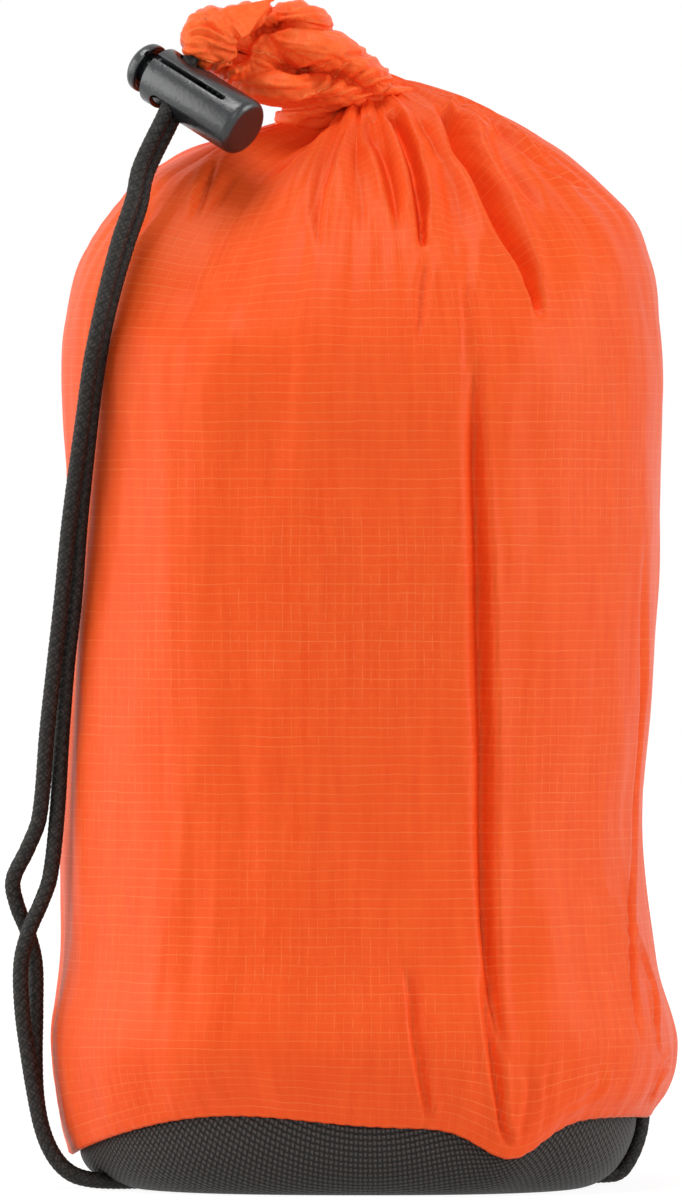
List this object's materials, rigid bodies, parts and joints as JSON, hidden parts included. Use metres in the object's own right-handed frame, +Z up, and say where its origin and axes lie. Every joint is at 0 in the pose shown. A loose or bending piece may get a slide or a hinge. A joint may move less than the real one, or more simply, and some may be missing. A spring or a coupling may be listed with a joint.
{
  "type": "emergency bivvy bag in its stuff sack",
  "caption": "Packed emergency bivvy bag standing in a ripstop stuff sack with a black base panel, gathered drawcord mouth, spring cord lock and a cord that runs under the base",
  "frame": {"origin": "on the ground under the middle of the sack, leaving out the free drawcord and the cord lock on it", "axes": "+Z up through the mouth, front (the side pictured) towards -Y, +X to the right of the front"},
  "size_m": [0.0957, 0.083, 0.1708],
  "materials": {
    "orange_ripstop": "shiny coated ripstop nylon",
    "black_oxford": "matt coarse oxford weave",
    "silvered_film": "crinkled metallised film",
    "black_braid": "round braided accessory cord",
    "black_plastic": "fine satin moulding",
    "spring_steel": "drawn wire"
  },
  "bodies": {
    "sack": {"sack_body": "orange_ripstop", "gathered_mouth": "orange_ripstop", "base_panel": "black_oxford", "packed_bivvy": "silvered_film", "drawcord_hem_loop": "black_braid", "drawcord_front_strand": "black_braid", "drawcord_rear_strand": "black_braid"},
    "cord_lock": {"cord_lock_barrel": "black_plastic", "cord_lock_spring": "spring_steel"},
    "plunger": {"cord_lock_plunger": "black_plastic"}
  },
  "joints": [
    {"name": "cord_lock_slide", "type": "slide", "parent": "sack", "child": "cord_lock", "axis": [-0.4113, -0.2299, -0.882], "range_m": [0, 0.008]},
    {"name": "cord_lock_press", "type": "slide", "parent": "cord_lock", "child": "plunger", "axis": [0.7304, -0.5, -0.4653], "range_m": [0, 0.0015], "stiffness_N_per_m": 800, "springref_m": -0.001, "deforming": ["cord_lock_spring"]}
  ]
}
